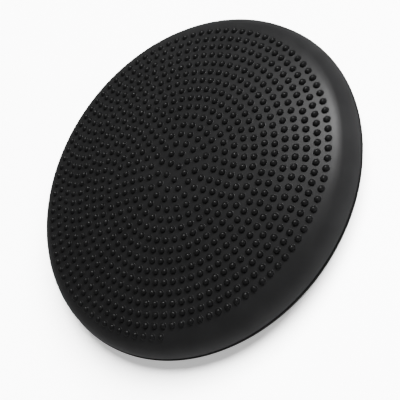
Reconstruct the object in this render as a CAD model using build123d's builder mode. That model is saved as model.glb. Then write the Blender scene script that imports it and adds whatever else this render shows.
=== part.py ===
"""Inflatable wobble cushion: a round air-filled PVC disc with a nubbed upper face.

The cushion lies flat. +Z is the disc's axis, the origin is the centre of the face it rests
on, and the inflation valve is in the rim on the +Y side. All sizes are in millimetres.
"""

import math
import os

from build123d import *

# Whole disc
disc_radius = 165.0  # to the outside of the weld bead
weld_height = 20.0  # middle of the weld bead above the floor
wall = 3.5  # moulded PVC skin
bead_stand_off = 0.8  # how far the weld bead stands out from the two skins
bead_half_height = 1.2
bead_depth = 3.0  # radial size of the weld between the skins
skin_radius = disc_radius - bead_stand_off

# Upper skin: a shallow spherical crown that runs into a round shoulder
crown_height = 33.3  # above the skin's edge
crown_radius = 700.0
upper_edge_height = weld_height + bead_half_height

# Lower skin: a flat resting zone, a shallow curve and a tight shoulder
lower_edge_height = weld_height - bead_half_height
rest_radius = 70.0
lower_shoulder_radius = 5.0

# Nubs: one row of round nubs that winds outward as a spiral
nub_radius = 3.15
nub_height = 2.8
row_pitch = 9.26  # from one turn of the spiral to the next
spiral_start = 2.9  # angle along the spiral of the first nub, in radians
spiral_end = 101.56
spiral_phase = 2.725  # turns the whole spiral about the disc's axis, in radians
outer_spacing = 0.973  # nub spacing along the row in the outer turns, as a share of the pitch
inner_spacing = 1.261
spacing_change = 24.2  # angle along the spiral where the spacing is half-way between the two
spacing_sharpness = 3.3
spacing_drift = 0.041  # slow growth of that share over 100 radians of the spiral
spacing_even = 60.0  # angle along the spiral where the drift adds nothing

# Inflation valve, on its own axis: outward is +Z of valve_plane, 0 is the skin's outer face
valve_angle = 20.0  # above the horizontal, in the rim's upper shoulder
flange_radius = 4.6
flange_top = -0.8  # sunk, so that the plug's head ends flush with the skin
flange_thickness = 1.2
sleeve_radius = 3.6
sleeve_bottom = -14.0
sleeve_bore_radius = 2.0
boss_radius = 5.0  # thicker ring of the skin around the sleeve
boss_top = -2.2
boss_bottom = -6.0
core_top = -5.5
core_bottom = -13.5
needle_channel_radius = 0.5
plug_head_radius = 3.2
plug_head_thickness = 0.8
plug_stem_radius = 1.9
plug_stem_length = 4.4
seat_gap = 0.15  # between the sleeve and the skin around it

# The shoulder circle touches the crown's sphere from inside and the vertical at the skin's edge.
crown_centre_depth = crown_radius - crown_height  # below the skin's edge
upper_shoulder_radius = (crown_radius**2 - crown_centre_depth**2 - skin_radius**2) / (
    2 * (crown_radius - skin_radius)
)


def upper_profile(inset):
    """The upper skin's curve, inset from its outer face: its ends and the point where the arcs meet."""
    shoulder_centre = skin_radius - upper_shoulder_radius
    reach = crown_radius - upper_shoulder_radius
    scale = (crown_radius - inset) / reach
    centre_height = upper_edge_height - crown_centre_depth
    meeting = (shoulder_centre * scale, centre_height + crown_centre_depth * scale)
    half_angle = math.atan2(shoulder_centre, crown_centre_depth) / 2
    middle = (
        (crown_radius - inset) * math.sin(half_angle),
        centre_height + (crown_radius - inset) * math.cos(half_angle),
    )
    top = (0, centre_height + crown_radius - inset)
    edge = (skin_radius - inset, upper_edge_height)
    return top, middle, meeting, edge


def lower_profile(inset):
    """The lower skin's curve, inset from its outer face: flat end, belly arc, meeting point, edge."""
    shoulder_centre = skin_radius - lower_shoulder_radius
    run = shoulder_centre - rest_radius
    drop = lower_edge_height
    belly_radius = (run**2 + drop**2 - lower_shoulder_radius**2) / (
        2 * (drop - lower_shoulder_radius)
    )
    angle = math.atan2(run, belly_radius - drop)
    inner = belly_radius - inset
    flat_end = (rest_radius, inset)
    middle = (
        rest_radius + inner * math.sin(angle / 2),
        belly_radius - inner * math.cos(angle / 2),
    )
    meeting = (rest_radius + inner * math.sin(angle), belly_radius - inner * math.cos(angle))
    edge = (skin_radius - inset, lower_edge_height)
    return flat_end, middle, meeting, edge


def upper_surface_height(radius):
    """Height of the upper skin's outer face at a distance from the disc's axis."""
    shoulder_centre = skin_radius - upper_shoulder_radius
    meeting_radius = upper_profile(0)[2][0]
    if radius < meeting_radius:
        return upper_edge_height - crown_centre_depth + math.sqrt(crown_radius**2 - radius**2)
    return upper_edge_height + math.sqrt(
        upper_shoulder_radius**2 - (radius - shoulder_centre) ** 2
    )


def nub_places():
    """Centres of the nubs along the spiral, from the middle outward, on the skin's outer face."""
    places = []
    along = spiral_start
    while along < spiral_end:
        radius = row_pitch * along / (2 * math.pi)
        angle = along + spiral_phase
        places.append(
            (radius * math.cos(angle), radius * math.sin(angle), upper_surface_height(radius))
        )
        change = 1 + (along / spacing_change) ** spacing_sharpness
        share = outer_spacing + (inner_spacing - outer_spacing) / change
        share += spacing_drift * (along - spacing_even) / 100
        along = math.sqrt(along**2 + 4 * math.pi * share)
    return places


valve_tilt = math.radians(valve_angle)
valve_plane = Plane(
    origin=(
        0,
        skin_radius - upper_shoulder_radius * (1 - math.cos(valve_tilt)),
        upper_edge_height + upper_shoulder_radius * math.sin(valve_tilt),
    ),
    x_dir=(1, 0, 0),
    z_dir=(0, math.cos(valve_tilt), math.sin(valve_tilt)),
)


def on_valve(height):
    """The plane square to the valve's axis at a height along it."""
    return valve_plane.offset(height)


# Upper skin: the nubbed face, its smooth shoulder and the thickened ring for the valve
outer_top, outer_middle, outer_meeting, outer_edge = upper_profile(0)
inner_top, inner_middle, inner_meeting, inner_edge = upper_profile(wall)
nub_sphere_radius = (nub_radius**2 + nub_height**2) / (2 * nub_height)
nub_sphere_depth = nub_sphere_radius - nub_height
nub_root_angle = -30  # each nub's sphere ends inside the wall, at this latitude in degrees
nub_align = (Align.CENTER, Align.CENTER, Align.NONE)
with BuildPart() as upper_skin:
    with BuildSketch(Plane.XZ):
        with BuildLine():
            crown = ThreePointArc(outer_top, outer_middle, outer_meeting)
            TangentArc(outer_meeting, outer_edge, tangent=crown % 1)
            Line(outer_edge, inner_edge)
            ceiling = ThreePointArc(inner_top, inner_middle, inner_meeting)
            TangentArc(inner_meeting, inner_edge, tangent=ceiling % 1)
            Line(inner_top, outer_top)
        make_face()
    revolve(axis=Axis.Z)
    with BuildSketch(on_valve(boss_bottom)):
        Circle(boss_radius)
    extrude(amount=boss_top - boss_bottom)
    with BuildSketch(on_valve(flange_top - flange_thickness)):
        Circle(flange_radius + seat_gap)
    extrude(amount=4 * flange_thickness, mode=Mode.SUBTRACT)
    with BuildSketch(on_valve(sleeve_bottom)):
        Circle(sleeve_radius + seat_gap)
    extrude(amount=-sleeve_bottom, mode=Mode.SUBTRACT)
    with Locations(*[Location((x, y, z - nub_sphere_depth)) for x, y, z in nub_places()]):
        Sphere(nub_sphere_radius, arc_size1=nub_root_angle, align=nub_align)
upper_skin.part.label = "upper_skin"

# Lower skin: flat where the cushion rests, curved up to the weld
flat_end, belly_middle, belly_meeting, lower_edge = lower_profile(0)
inner_flat_end, inner_belly, inner_belly_meeting, inner_lower_edge = lower_profile(wall)
with BuildPart() as lower_skin:
    with BuildSketch(Plane.XZ):
        with BuildLine():
            Line((0, 0), flat_end)
            belly = ThreePointArc(flat_end, belly_middle, belly_meeting)
            TangentArc(belly_meeting, lower_edge, tangent=belly % 1)
            Line(lower_edge, inner_lower_edge)
            lining = ThreePointArc(inner_flat_end, inner_belly, inner_belly_meeting)
            TangentArc(inner_belly_meeting, inner_lower_edge, tangent=lining % 1)
            Line(inner_flat_end, (0, wall))
            Line((0, wall), (0, 0))
        make_face()
    revolve(axis=Axis.Z)
lower_skin.part.label = "lower_skin"

# Weld bead: the ring of fused PVC between the two skins, round on the outside
with BuildPart() as weld_bead:
    with BuildSketch(Plane.XZ):
        with Locations((disc_radius - bead_depth / 2, weld_height)):
            Rectangle(bead_depth, 2 * bead_half_height)
        outer_corners = vertices().sort_by(Axis.X)[-2:]
        fillet(outer_corners, bead_half_height * 0.6)
    revolve(axis=Axis.Z)
weld_bead.part.label = "weld_bead"

# Valve sleeve: the flanged tube bonded into the upper skin's shoulder
with BuildPart() as valve_sleeve:
    with BuildSketch(on_valve(flange_top - flange_thickness)):
        Circle(flange_radius)
    extrude(amount=flange_thickness)
    with BuildSketch(on_valve(sleeve_bottom)):
        Circle(sleeve_radius)
    extrude(amount=flange_top - flange_thickness - sleeve_bottom)
    with BuildSketch(on_valve(sleeve_bottom)):
        Circle(sleeve_bore_radius)
    extrude(amount=-sleeve_bottom, mode=Mode.SUBTRACT)
valve_sleeve.part.label = "valve_sleeve"

# Valve core: the self-sealing rubber insert that the pump needle goes through
with BuildPart() as valve_core:
    with BuildSketch(on_valve(core_bottom)):
        Circle(sleeve_bore_radius)
        Circle(needle_channel_radius, mode=Mode.SUBTRACT)
    extrude(amount=core_top - core_bottom)
valve_core.part.label = "valve_core"

# Valve plug: the push-in stopper that keeps dirt out, with its head on the flange
with BuildPart() as valve_plug:
    with BuildSketch(on_valve(flange_top)):
        Circle(plug_head_radius)
    extrude(amount=plug_head_thickness)
    head_rim = valve_plug.edges().sort_by(Axis(valve_plane.origin, valve_plane.z_dir))[-1]
    fillet(head_rim, plug_head_thickness * 0.7)
    with BuildSketch(on_valve(flange_top - plug_stem_length)):
        Circle(plug_stem_radius)
    extrude(amount=plug_stem_length)
valve_plug.part.label = "valve_plug"

os.makedirs("parts", exist_ok=True)
export_step(upper_skin.part, "parts/upper_skin.step")
export_step(lower_skin.part, "parts/lower_skin.step")
export_step(weld_bead.part, "parts/weld_bead.step")
export_step(valve_sleeve.part, "parts/valve_sleeve.step")
export_step(valve_core.part, "parts/valve_core.step")
export_step(valve_plug.part, "parts/valve_plug.step")
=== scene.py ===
"""Looks of the wobble cushion: nubbed vinyl skins, weld bead and needle valve.

Everything is in metres in the part's own frame: the cushion lies flat on z = 0, +Z is the
disc's axis, and the valve is in the rim on the +Y side.
"""

import math

import bpy
import numpy as np
from mathutils import Matrix, Vector
from mathutils.geometry import delaunay_2d_cdt


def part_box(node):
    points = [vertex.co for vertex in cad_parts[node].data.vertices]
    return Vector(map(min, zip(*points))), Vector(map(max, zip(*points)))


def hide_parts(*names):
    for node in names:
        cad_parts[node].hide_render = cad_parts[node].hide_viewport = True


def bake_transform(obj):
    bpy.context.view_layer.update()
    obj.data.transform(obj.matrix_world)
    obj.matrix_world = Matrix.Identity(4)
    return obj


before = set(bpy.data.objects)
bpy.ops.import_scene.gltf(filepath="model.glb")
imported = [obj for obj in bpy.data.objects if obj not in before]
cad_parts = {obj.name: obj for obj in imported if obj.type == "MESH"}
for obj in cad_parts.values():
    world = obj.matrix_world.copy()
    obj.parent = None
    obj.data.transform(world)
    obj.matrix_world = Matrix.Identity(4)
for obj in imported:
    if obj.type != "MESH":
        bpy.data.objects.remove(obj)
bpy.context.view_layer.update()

MM = 0.001
FULL_TURN = 2 * math.pi

# ---------------------------------------------------------------- places taken from the frame

bead_low, bead_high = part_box("weld_bead")

SKIN_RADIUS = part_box("upper_skin")[1].x
UPPER_EDGE = bead_high.z
LOWER_EDGE = bead_low.z
WELD_HEIGHT = (bead_low.z + bead_high.z) / 2

# ---------------------------------------------------------------- driving sizes

WALL = 3.5 * MM

# Upper skin's profile: a spherical crown and a round shoulder that meet tangentially
CROWN_RADIUS = 700 * MM
CROWN_HEIGHT = 33.3 * MM  # above the skin's edge
CROWN_CENTRE_DEPTH = CROWN_RADIUS - CROWN_HEIGHT
SHOULDER_RADIUS = (CROWN_RADIUS**2 - CROWN_CENTRE_DEPTH**2 - SKIN_RADIUS**2) / (
    2 * (CROWN_RADIUS - SKIN_RADIUS)
)
SHOULDER_CENTRE = SKIN_RADIUS - SHOULDER_RADIUS
CROWN_ANGLE = math.atan2(SHOULDER_CENTRE, CROWN_CENTRE_DEPTH)  # where the two arcs meet
CROWN_ARC = CROWN_RADIUS * CROWN_ANGLE
SKIN_ARC = CROWN_ARC + SHOULDER_RADIUS * (math.pi / 2 - CROWN_ANGLE)

# Lower skin's profile: flat resting zone, shallow belly, tight shoulder
REST_RADIUS = 70 * MM
LOWER_SHOULDER_RADIUS = 5 * MM
BELLY_RUN = SKIN_RADIUS - LOWER_SHOULDER_RADIUS - REST_RADIUS
BELLY_RADIUS = (BELLY_RUN**2 + LOWER_EDGE**2 - LOWER_SHOULDER_RADIUS**2) / (
    2 * (LOWER_EDGE - LOWER_SHOULDER_RADIUS)
)
BELLY_ANGLE = math.atan2(BELLY_RUN, BELLY_RADIUS - LOWER_EDGE)
BELLY_ARC = BELLY_RADIUS * BELLY_ANGLE
LOWER_ARC = REST_RADIUS + BELLY_ARC + LOWER_SHOULDER_RADIUS * (math.pi / 2 - BELLY_ANGLE)

# Concentric ribs under the lower skin
RIB_PITCH = 7.5 * MM
RIB_DEPTH = 0.9 * MM
RIB_FIRST = 27 * MM
RIB_LAST = 150 * MM
RIB_FLATNESS = 1.6  # above 1, the ribs are broader than the grooves between them

# One nub: a round cap on a soft foot
NUB_RADIUS = 3.15 * MM
NUB_HEIGHT = 2.8 * MM
CAP_RADIUS = (NUB_RADIUS**2 + NUB_HEIGHT**2) / (2 * NUB_HEIGHT)
NUB_FOOT = 3.55 * MM  # where the fillet around a nub ends
FOOT_HEIGHT = 0.2 * MM

# The spiral that the nubs stand on; angles along it are in radians
ROW_PITCH = 9.26 * MM  # from one turn to the next
SPIRAL_START = 2.9
SPIRAL_END = 101.56
SPIRAL_PHASE = 2.725  # turns the whole spiral about the disc's axis
OUTER_SPACING = 0.973  # nub spacing in the outer turns, as a share of the pitch
INNER_SPACING = 1.261
SPACING_CHANGE = 24.2  # angle where the spacing is half-way between the two
SPACING_SHARPNESS = 3.3
SPACING_DRIFT = 0.041  # slow growth of that share over 100 radians
SPACING_EVEN = 60.0  # angle where the drift adds nothing
FIELD_END = ROW_PITCH * SPIRAL_END / FULL_TURN  # the last nub's distance from the axis

# Valve, on its own axis
VALVE_ANGLE = math.radians(20)  # above the horizontal
POCKET_RADIUS = 4.75 * MM
POCKET_DEPTH = 2 * MM
BORE_RADIUS = 3.75 * MM
BORE_DEPTH = WALL + 1.5 * MM
VALVE_ARC = CROWN_ARC + SHOULDER_RADIUS * (math.pi / 2 - VALVE_ANGLE - CROWN_ANGLE)
VALVE_CLEARANCE = 8.2 * MM  # around the valve, the skin has only the pocket's own rings

# How finely the skins are divided
NUB_RINGS = [radius * MM for radius in (0.9, 1.65, 2.3, 2.75, 3.05, 3.17, 3.55)]
NUB_SIDES = 16
RIM_RINGS = 14  # even, so that the upper skin's last ring lines up with its lining
RIM_SIDES = 256
RIM_START = 0.6 * MM  # from the last nub's foot to the first ring of the rim
POCKET_RINGS = (POCKET_RADIUS + 2.2 * MM, POCKET_RADIUS + 0.9 * MM, POCKET_RADIUS)
VALVE_SIDES = 48
MIDDLE_STEP = 4 * MM  # between the rings inside the first rib
POINTS_PER_RIB = 10
LINING_START = 20 * MM  # the lower lining's innermost ring
LINING_STEP = 9 * MM  # between the upper lining's rings in the shoulder
LINING_CROWN_SHARES = (0.8, 0.6, 0.4, 0.2)  # the upper lining's rings under the crown
SLOPE_STEP = 0.01 * MM
SKIN_SEARCH_STEPS = 30


# ---------------------------------------------------------------- meshes


def make_mesh(name, places, faces, normals=None):
    """A smooth mesh object; normals may give a known normal for some of its points."""
    mesh = bpy.data.meshes.new(name)
    mesh.from_pydata([tuple(p) for p in places], [], faces)
    mesh.validate()
    mesh.polygons.foreach_set("use_smooth", [True] * len(mesh.polygons))
    if normals is not None:
        no_normal = (0.0, 0.0, 0.0)  # the mesh works these out by itself
        known = [no_normal if n is None else tuple(n) for n in normals]
        mesh.normals_split_custom_set_from_vertices(known)
    mesh.update()
    piece = bpy.data.objects.new(name, mesh)
    bpy.context.scene.collection.objects.link(piece)
    return piece


def circle(radius, height):
    """Points on a circle about the disc's axis."""
    turns = [FULL_TURN * k / RIM_SIDES for k in range(RIM_SIDES)]
    return [Vector((radius * math.cos(t), radius * math.sin(t), height)) for t in turns]


# ---------------------------------------------------------------- upper skin


def upper_point(arc):
    """(radius, height, outward part of the normal, upward part) at an arc length from the pole."""
    if arc < CROWN_ARC:
        angle = arc / CROWN_RADIUS
        radius = CROWN_RADIUS * math.sin(angle)
        height = UPPER_EDGE - CROWN_CENTRE_DEPTH + CROWN_RADIUS * math.cos(angle)
    else:
        angle = CROWN_ANGLE + (arc - CROWN_ARC) / SHOULDER_RADIUS
        radius = SHOULDER_CENTRE + SHOULDER_RADIUS * math.sin(angle)
        height = UPPER_EDGE + SHOULDER_RADIUS * math.cos(angle)
    return radius, height, math.sin(angle), math.cos(angle)


def arc_at_radius(radius):
    """Arc length from the pole to a point of the upper skin at that distance from the axis."""
    if radius < CROWN_RADIUS * math.sin(CROWN_ANGLE):
        return CROWN_RADIUS * math.asin(radius / CROWN_RADIUS)
    share = min(1.0, (radius - SHOULDER_CENTRE) / SHOULDER_RADIUS)
    return CROWN_ARC + SHOULDER_RADIUS * (math.asin(share) - CROWN_ANGLE)


def nub_places():
    """(arc length from the pole, polar angle) of each nub along the spiral."""
    places = []
    along = SPIRAL_START
    while along < SPIRAL_END:
        radius = ROW_PITCH * along / FULL_TURN
        places.append((arc_at_radius(radius), along + SPIRAL_PHASE))
        change = 1 + (along / SPACING_CHANGE) ** SPACING_SHARPNESS
        share = OUTER_SPACING + (INNER_SPACING - OUTER_SPACING) / change
        share += SPACING_DRIFT * (along - SPACING_EVEN) / 100
        along = math.sqrt(along**2 + 2 * FULL_TURN * share)
    return places


def nub_profile(distance):
    """Height of a nub above the skin at a distance from its centre."""
    inside = CAP_RADIUS**2 - distance**2
    cap = math.sqrt(inside) - (CAP_RADIUS - NUB_HEIGHT) if inside > 0 else -NUB_HEIGHT
    into_foot = min(1.0, max(0.0, (NUB_FOOT - distance) / (NUB_FOOT - NUB_RADIUS)))
    return max(cap, FOOT_HEIGHT * into_foot**2)


def nub_slope(distance):
    """How steeply a nub rises at a distance from its centre."""
    rise = nub_profile(distance + SLOPE_STEP) - nub_profile(distance - SLOPE_STEP)
    return rise / (2 * SLOPE_STEP)


def reach_to_skin(start, out):
    """How far a point near the shoulder has to move along a direction to be on the skin."""
    reach = 0.0
    for _ in range(SKIN_SEARCH_STEPS):
        point = start + out * reach
        across_skin = math.hypot(point.x, point.y) - SHOULDER_CENTRE
        gap = math.hypot(across_skin, point.z - UPPER_EDGE) - SHOULDER_RADIUS
        reach -= gap
    return reach


def valve_circle(radius, depth=None):
    """Points on a circle about the valve's axis: on the skin, or at a depth below it."""
    centre = Vector(
        (
            0,
            SHOULDER_CENTRE + SHOULDER_RADIUS * math.cos(VALVE_ANGLE),
            UPPER_EDGE + SHOULDER_RADIUS * math.sin(VALVE_ANGLE),
        )
    )
    out = Vector((0, math.cos(VALVE_ANGLE), math.sin(VALVE_ANGLE)))
    across = Vector((1, 0, 0))
    up = out.cross(across)
    points = []
    for k in range(VALVE_SIDES):
        turn = FULL_TURN * k / VALVE_SIDES
        flat = centre + across * (radius * math.cos(turn)) + up * (radius * math.sin(turn))
        reach = reach_to_skin(flat, out) if depth is None else -depth
        points.append(flat + out * reach)
    return points


def flat_of(point):
    """The place of a point of the shoulder in the flat plane of arc length and polar angle."""
    across_skin = math.hypot(point.x, point.y) - SHOULDER_CENTRE
    angle = math.atan2(across_skin, point.z - UPPER_EDGE)
    arc = CROWN_ARC + SHOULDER_RADIUS * (angle - CROWN_ANGLE)
    turn = math.atan2(point.y, point.x)
    return Vector((arc * math.cos(turn), arc * math.sin(turn)))


class UpperSkin:
    """The upper skin as one closed mesh.

    The points of its outer face are also laid out flat, by arc length from the pole and polar
    angle, so that they can be joined into triangles there.
    """

    def __init__(self):
        self.flat = []
        self.places = []
        self.normals = []
        self.on_nub = []
        self.faces = []
        self.add_nubs()
        edge = self.add_rim()
        mouth = self.add_pocket_rings()
        self.join_outer_face(mouth)
        self.add_pocket(mouth)
        self.add_lining(edge)

    def add_outer(self, arc, turn, lift=0.0, slope=(0.0, 0.0), nub_share=0.0):
        """One point of the outer face, lifted along the skin's normal."""
        radius, height, outward, upward = upper_point(arc)
        self.flat.append(Vector((arc * math.cos(turn), arc * math.sin(turn))))
        normal = Vector((outward * math.cos(turn), outward * math.sin(turn), upward))
        along = Vector((upward * math.cos(turn), upward * math.sin(turn), -outward))
        around = Vector((-math.sin(turn), math.cos(turn), 0))
        place = Vector((radius * math.cos(turn), radius * math.sin(turn), height))
        self.places.append(place + normal * lift)
        self.normals.append((normal - along * slope[0] - around * slope[1]).normalized())
        self.on_nub.append(nub_share)

    def add_loop(self, points):
        """A loop of points that aren't on the outer face; gives their numbers."""
        start = len(self.places)
        self.places += points
        self.normals += [None] * len(points)
        self.on_nub += [0.0] * len(points)
        return list(range(start, start + len(points)))

    def bridge(self, first, second):
        """Faces between two loops."""
        for k, corner in enumerate(first):
            n = (k + 1) % len(first)
            self.faces.append((corner, first[n], second[n], second[k]))

    def add_nubs(self):
        """Each nub as a point at its top and rings of points around it."""
        for arc, turn in nub_places():
            self.add_outer(arc, turn, nub_profile(0), nub_share=1.0)
            for ring in NUB_RINGS:
                lift = nub_profile(ring)
                steep = nub_slope(ring)
                nub_share = 1.0 if ring < NUB_RADIUS else 0.0
                for k in range(NUB_SIDES):
                    side = FULL_TURN * k / NUB_SIDES
                    x = arc + ring * math.cos(side)
                    y = ring * math.sin(side)
                    slope = (steep * math.cos(side), steep * math.sin(side))
                    where = turn + math.atan2(y, x)
                    self.add_outer(math.hypot(x, y), where, lift, slope, nub_share)

    def add_rim(self):
        """Rings over the smooth shoulder, clear of the valve; gives the last, at the edge."""
        start = arc_at_radius(FIELD_END) + NUB_FOOT + RIM_START
        valve = Vector((0, VALVE_ARC))
        for ring in range(RIM_RINGS + 1):
            arc = start + (SKIN_ARC - start) * ring / RIM_RINGS
            for k in range(RIM_SIDES):
                turn = FULL_TURN * (k + 0.5 * (ring % 2)) / RIM_SIDES
                here = Vector((arc * math.cos(turn), arc * math.sin(turn)))
                if ring == RIM_RINGS or (here - valve).length > VALVE_CLEARANCE:
                    self.add_outer(arc, turn)
        return list(range(len(self.flat) - RIM_SIDES, len(self.flat)))

    def add_pocket_rings(self):
        """Rings on the skin around the valve's pocket; gives the last, at its mouth."""
        for radius in POCKET_RINGS:
            for point in valve_circle(radius):
                spot = flat_of(point)
                self.add_outer(spot.length, math.atan2(spot.y, spot.x))
        return list(range(len(self.flat) - VALVE_SIDES, len(self.flat)))

    def join_outer_face(self, hole):
        """Triangles over the whole outer face, except across a hole."""
        corners, _, faces, _, _, _ = delaunay_2d_cdt(self.flat, [], [], 0, 1e-9)
        if len(corners) != len(self.flat):
            raise RuntimeError("two points of the upper skin fall together")
        in_hole = set(hole)
        for face in faces:
            if in_hole.issuperset(face):
                continue
            a, b, c = (self.flat[i] for i in face)
            faces_out = (b - a).cross(c - a) > 0
            self.faces.append(tuple(face) if faces_out else tuple(reversed(face)))

    def add_pocket(self, mouth):
        """The valve pocket's wall and floor, and the bore through the skin."""
        loop = mouth
        for radius, depth in (
            (POCKET_RADIUS, POCKET_DEPTH),
            (BORE_RADIUS, POCKET_DEPTH),
            (BORE_RADIUS, BORE_DEPTH),
        ):
            deeper = self.add_loop(valve_circle(radius, depth))
            self.bridge(loop, deeper)
            loop = deeper

    def add_lining(self, edge):
        """The skin's edge and its inner face, up to the pole."""
        arcs = [SKIN_ARC, SKIN_ARC - LINING_STEP, SKIN_ARC - 2 * LINING_STEP, CROWN_ARC]
        arcs += [CROWN_ARC * share for share in LINING_CROWN_SHARES]
        loop = edge
        for arc in arcs:
            radius, height, outward, upward = upper_point(arc)
            further = self.add_loop(circle(radius - WALL * outward, height - WALL * upward))
            self.bridge(further, loop)
            loop = further
        (hub,) = self.add_loop([Vector((0, 0, UPPER_EDGE + CROWN_HEIGHT - WALL))])
        for k in range(RIM_SIDES):
            self.faces.append((loop[k], hub, loop[(k + 1) % RIM_SIDES]))


upper_skin = UpperSkin()
upper = make_mesh("upper_skin_nubbed", upper_skin.places, upper_skin.faces, upper_skin.normals)
nub_mask = upper.data.attributes.new("nub", "FLOAT", "POINT")
nub_mask.data.foreach_set("value", upper_skin.on_nub)


# ---------------------------------------------------------------- lower skin


def lower_point(arc):
    """(radius, height, outward and upward parts of the normal) at an arc length from the middle."""
    if arc < REST_RADIUS:
        return arc, 0.0, 0.0, -1.0
    if arc < REST_RADIUS + BELLY_ARC:
        angle = (arc - REST_RADIUS) / BELLY_RADIUS
        radius = REST_RADIUS + BELLY_RADIUS * math.sin(angle)
        height = BELLY_RADIUS * (1 - math.cos(angle))
    else:
        angle = BELLY_ANGLE + (arc - REST_RADIUS - BELLY_ARC) / LOWER_SHOULDER_RADIUS
        radius = SKIN_RADIUS - LOWER_SHOULDER_RADIUS + LOWER_SHOULDER_RADIUS * math.sin(angle)
        height = LOWER_EDGE - LOWER_SHOULDER_RADIUS * math.cos(angle)
    return radius, height, math.sin(angle), -math.cos(angle)


def groove(arc):
    """How far the skin is pressed in between its ribs."""
    if not RIB_FIRST < arc < RIB_LAST:
        return 0.0
    place = ((arc - RIB_FIRST) / RIB_PITCH) % 1.0
    wave = 0.5 - 0.5 * math.cos(FULL_TURN * place)
    return RIB_DEPTH * wave**RIB_FLATNESS


def lower_skin_outline():
    """(radius, height) of each ring: along the ribbed outer face, then back along the lining."""
    arcs = list(np.arange(MIDDLE_STEP, RIB_FIRST, MIDDLE_STEP))
    arcs += list(np.arange(RIB_FIRST, RIB_LAST, RIB_PITCH / POINTS_PER_RIB))
    arcs += list(np.linspace(RIB_LAST, LOWER_ARC, RIM_RINGS))
    depths = [groove(arc) for arc in arcs]
    lining = list(np.linspace(LOWER_ARC, LINING_START, RIM_RINGS))
    arcs += lining
    depths += [WALL] * len(lining)
    outline = []
    for arc, depth in zip(arcs, depths):
        radius, height, outward, upward = lower_point(arc)
        outline.append((radius - depth * outward, height - depth * upward))
    return outline


def lower_skin_mesh():
    """The lower skin as one closed mesh: places and faces."""
    outline = lower_skin_outline()
    places = [Vector((0, 0, 0))]
    for radius, height in outline:
        places += circle(radius, height)
    places.append(Vector((0, 0, WALL)))
    first_ring = 1
    last_ring = 1 + (len(outline) - 1) * RIM_SIDES
    lining_hub = len(places) - 1
    faces = []
    for k in range(RIM_SIDES):
        n = (k + 1) % RIM_SIDES
        faces.append((0, first_ring + n, first_ring + k))
        faces.append((lining_hub, last_ring + k, last_ring + n))
        for ring in range(first_ring, last_ring, RIM_SIDES):
            further = ring + RIM_SIDES
            faces.append((ring + k, ring + n, further + n, further + k))
    return places, faces


lower = make_mesh("lower_skin_ribbed", *lower_skin_mesh())


# ---------------------------------------------------------------- materials


def new_material(name):
    """An empty node material with its Principled shader and object coordinates."""
    material = bpy.data.materials.new(name)
    material.use_nodes = True
    nodes = material.node_tree.nodes
    links = material.node_tree.links
    shader = nodes["Principled BSDF"]
    coordinates = nodes.new("ShaderNodeTexCoord")
    return material, nodes, links, shader, coordinates.outputs["Object"]


def noise(nodes, links, where, scale, detail=4.0, roughness=0.55):
    """A noise texture's value at object coordinates; scale is in cells per metre."""
    texture = nodes.new("ShaderNodeTexNoise")
    texture.inputs["Scale"].default_value = scale
    texture.inputs["Detail"].default_value = detail
    texture.inputs["Roughness"].default_value = roughness
    links.new(where, texture.inputs["Vector"])
    return texture.outputs["Fac"]


def ramp(nodes, links, value, low, high):
    """A colour ramp between two colours, over the middle of the value's range."""
    node = nodes.new("ShaderNodeValToRGB")
    node.color_ramp.elements[0].position = 0.35
    node.color_ramp.elements[0].color = (*low, 1)
    node.color_ramp.elements[1].position = 0.65
    node.color_ramp.elements[1].color = (*high, 1)
    links.new(value, node.inputs["Fac"])
    return node.outputs["Color"]


def span(nodes, links, value, low, high):
    """A value from 0 to 1 mapped to low to high."""
    node = nodes.new("ShaderNodeMapRange")
    node.inputs["To Min"].default_value = low
    node.inputs["To Max"].default_value = high
    links.new(value, node.inputs["Value"])
    return node.outputs["Result"]


def bump(nodes, links, value, strength, distance, under=None):
    """A bump from a value, on top of another bump if one is given."""
    node = nodes.new("ShaderNodeBump")
    node.inputs["Strength"].default_value = strength
    node.inputs["Distance"].default_value = distance
    links.new(value, node.inputs["Height"])
    if under is not None:
        links.new(under, node.inputs["Normal"])
    return node.outputs["Normal"]


def vinyl(name, tones, roughness, grain=0.35, nub_tones=None):
    """Satin moulded vinyl: faint mottling, a fine pebble grain and slow changes of gloss.

    tones and roughness each give a low and a high end. nub_tones gives the two colours of the
    nubs, where the mesh's nub attribute is 1.
    """
    material, nodes, links, shader, where = new_material(name)
    mottle = noise(nodes, links, where, 38, 5)
    colour = ramp(nodes, links, mottle, *tones)
    if nub_tones is not None:
        mask = nodes.new("ShaderNodeAttribute")
        mask.attribute_name = "nub"
        mix = nodes.new("ShaderNodeMix")
        mix.data_type = "RGBA"
        links.new(mask.outputs["Fac"], mix.inputs["Factor"])
        links.new(colour, mix.inputs["A"])
        links.new(ramp(nodes, links, mottle, *nub_tones), mix.inputs["B"])
        colour = mix.outputs["Result"]
    links.new(colour, shader.inputs["Base Color"])
    gloss = noise(nodes, links, where, 95, 4)
    links.new(span(nodes, links, gloss, *roughness), shader.inputs["Roughness"])
    fine = noise(nodes, links, where, 2600, 3, 0.6)
    pebble = noise(nodes, links, where, 900, 2, 0.5)
    under = bump(nodes, links, pebble, grain * 0.5, 0.1 * MM)
    links.new(bump(nodes, links, fine, grain, 0.04 * MM, under), shader.inputs["Normal"])
    shader.inputs["IOR"].default_value = 1.5
    shader.inputs["Specular IOR Level"].default_value = 0.5
    return material


def paint(piece, material):
    """Gives a piece one material."""
    piece.data.materials.clear()
    piece.data.materials.append(material)


def grey(level):
    """A neutral colour."""
    return (level, level, level)


SKIN_TONES = ((0.0165, 0.0165, 0.0170), (0.0212, 0.0212, 0.0218))
# The nubs get a darker tone than the skin between them, through the mesh's nub attribute
NUB_TONES = ((0.0062, 0.0062, 0.0064), (0.0082, 0.0082, 0.0085))
PLUG_TONES = ((0.020, 0.020, 0.021), (0.030, 0.030, 0.031))

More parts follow.
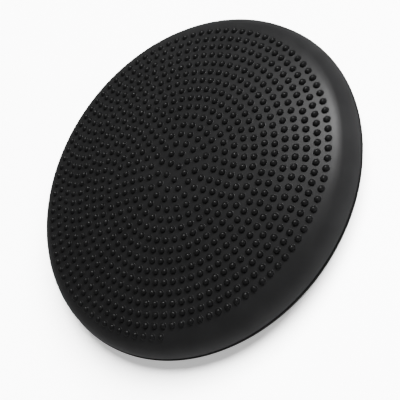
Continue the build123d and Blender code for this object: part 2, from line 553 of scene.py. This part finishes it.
paint(upper, vinyl("nubbed_vinyl", SKIN_TONES, (0.33, 0.39), nub_tones=NUB_TONES))
paint(lower, vinyl("skin_vinyl", SKIN_TONES, (0.33, 0.39)))
for node, material in (
    ("weld_bead", vinyl("weld_vinyl", (grey(0.003), grey(0.005)), (0.5, 0.65))),
    ("valve_sleeve", vinyl("valve_plastic", (grey(0.012), grey(0.018)), (0.4, 0.5), 0.2)),
    ("valve_core", vinyl("valve_rubber", (grey(0.03), grey(0.045)), (0.6, 0.75), 0.3)),
    ("valve_plug", vinyl("plug_plastic", PLUG_TONES, (0.35, 0.45), 0.2)),
):
    paint(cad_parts[node], material)

# ---------------------------------------------------------------- bodies

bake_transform(upper)
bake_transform(lower)
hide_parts("upper_skin")
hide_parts("lower_skin")

# ---------------------------------------------------------------- camera

CAMERA_ELEVATION = math.radians(50.17)
CAMERA_ROLL = math.radians(54.90)
CAMERA_DISTANCE = 1100 * MM  # from the middle of the weld
CAMERA_LENS = 109.51  # on a 36 mm sensor
CAMERA_SIDE = -4.00 * MM  # how far the weld's middle is off the view's axis, to the right
CAMERA_UP = 15.09 * MM

level_right = Vector((1, 0, 0))
level_up = Vector((0, math.sin(CAMERA_ELEVATION), math.cos(CAMERA_ELEVATION)))
picture_back = Vector((0, -math.cos(CAMERA_ELEVATION), math.sin(CAMERA_ELEVATION)))
picture_right = level_right * math.cos(CAMERA_ROLL) - level_up * math.sin(CAMERA_ROLL)
picture_up = level_right * math.sin(CAMERA_ROLL) + level_up * math.cos(CAMERA_ROLL)
weld_middle = Vector((0, 0, WELD_HEIGHT))


def in_picture(right, up, back):
    """A direction given as parts to the picture's right, up and towards the camera."""
    return (picture_right * right + picture_up * up + picture_back * back).normalized()


def add_camera():
    """The camera at the main view."""
    data = bpy.data.cameras.new("main_view")
    data.sensor_width = 36
    data.lens = CAMERA_LENS
    data.clip_start = 0.01
    data.clip_end = 200
    camera = bpy.data.objects.new("main_view", data)
    place = weld_middle + picture_back * CAMERA_DISTANCE
    place -= picture_right * CAMERA_SIDE + picture_up * CAMERA_UP
    axes = Matrix((picture_right, picture_up, picture_back)).transposed().to_4x4()
    camera.matrix_world = Matrix.Translation(place) @ axes
    bpy.context.scene.collection.objects.link(camera)
    bpy.context.scene.camera = camera


# ---------------------------------------------------------------- floor and light

GROUND_HALF = 40.0  # far enough for the floor to meet the backdrop at the horizon
FLOOR_LEVEL = -0.3 * MM  # just clear of the cushion's resting face
FLOOR_GLOW = 0.5
FLOOR_LIGHT_STRENGTH = 43  # lights only the floor
FLOOR_LIGHT_ANGLE = math.radians(50)  # how wide the light is, which softens the shadow
BOUNCE_LEVEL = -0.6 * MM
BOUNCE_GLOW = 3.2
SURROUNDINGS = 0.18  # as they light the cushion and show in it
BACKDROP = 10.0  # the same as the camera sees them, as bright as the floor
KEY_FROM = in_picture(-0.28, 0.81, 0.50)
KEY_POWER = 6.8
FILL_FROM = in_picture(0.35, 0.75, 0.55)
FILL_POWER = 16
FLOOR_LIGHT_FROM = in_picture(0.0, 0.75, 0.66)


def add_light(name, kind, towards, energy):
    """A light of any kind; towards is the direction from the cushion to the light."""
    data = bpy.data.lights.new(name, kind)
    data.energy = energy
    light = bpy.data.objects.new(name, data)
    light.rotation_mode = "QUATERNION"
    light.rotation_quaternion = towards.to_track_quat("Z", "Y")
    bpy.context.scene.collection.objects.link(light)
    return light


def add_area(name, towards, distance, size, power):
    """A round soft light at a distance from the middle of the weld, facing it."""
    light = add_light(name, "AREA", towards, power)
    light.data.shape = "DISK"
    light.data.size = size
    light.location = weld_middle + towards * distance
    return light


def add_ground(name, level, glow):
    """A large pale ground at a level, which shines a little by itself and shows in no reflection."""
    material, nodes, links, shader, where = new_material(name + "_paint")
    tone = noise(nodes, links, where, 3)
    links.new(ramp(nodes, links, tone, grey(0.86), grey(0.89)), shader.inputs["Base Color"])
    shader.inputs["Roughness"].default_value = 0.9
    shader.inputs["Emission Color"].default_value = (1, 1, 1, 1)
    shader.inputs["Emission Strength"].default_value = glow
    corners = [(x * GROUND_HALF, y * GROUND_HALF) for x, y in ((-1, -1), (1, -1), (1, 1), (-1, 1))]
    ground = make_mesh(name, [(x, y, level) for x, y in corners], [(0, 1, 2, 3)])
    paint(ground, material)
    ground.visible_glossy = False
    return ground


def add_floor_light(floor):
    """A wide soft light from the picture's top that lights only the floor, with the shadow on it."""
    light = add_light("floor_light", "SUN", FLOOR_LIGHT_FROM, FLOOR_LIGHT_STRENGTH)
    light.data.angle = FLOOR_LIGHT_ANGLE
    lit = bpy.data.collections.new("lit_by_floor_light")
    lit.objects.link(floor)
    light.light_linking.receiver_collection = lit


def add_world():
    """Even studio surroundings, with a backdrop for the camera that goes on from the floor."""
    world = bpy.data.worlds.new("studio")
    bpy.context.scene.world = world
    world.use_nodes = True
    nodes = world.node_tree.nodes
    links = world.node_tree.links
    level = nodes.new("ShaderNodeMix")
    level.inputs["A"].default_value = SURROUNDINGS
    level.inputs["B"].default_value = BACKDROP
    links.new(nodes.new("ShaderNodeLightPath").outputs["Is Camera Ray"], level.inputs["Factor"])
    nodes["Background"].inputs["Color"].default_value = (1, 1, 1, 1)
    links.new(level.outputs["Result"], nodes["Background"].inputs["Strength"])


add_camera()
# The floor takes the shadow. The bounce under it stands in for the light that it throws upward.
floor = add_ground("floor", FLOOR_LEVEL, FLOOR_GLOW)
floor.visible_diffuse = False
floor.visible_shadow = False
add_ground("bounce", BOUNCE_LEVEL, BOUNCE_GLOW)
add_floor_light(floor)
add_world()
add_area("key", KEY_FROM, 1.43, 0.25, KEY_POWER)
fill = add_area("fill", FILL_FROM, 1.2, 0.8, FILL_POWER)
fill.visible_glossy = False
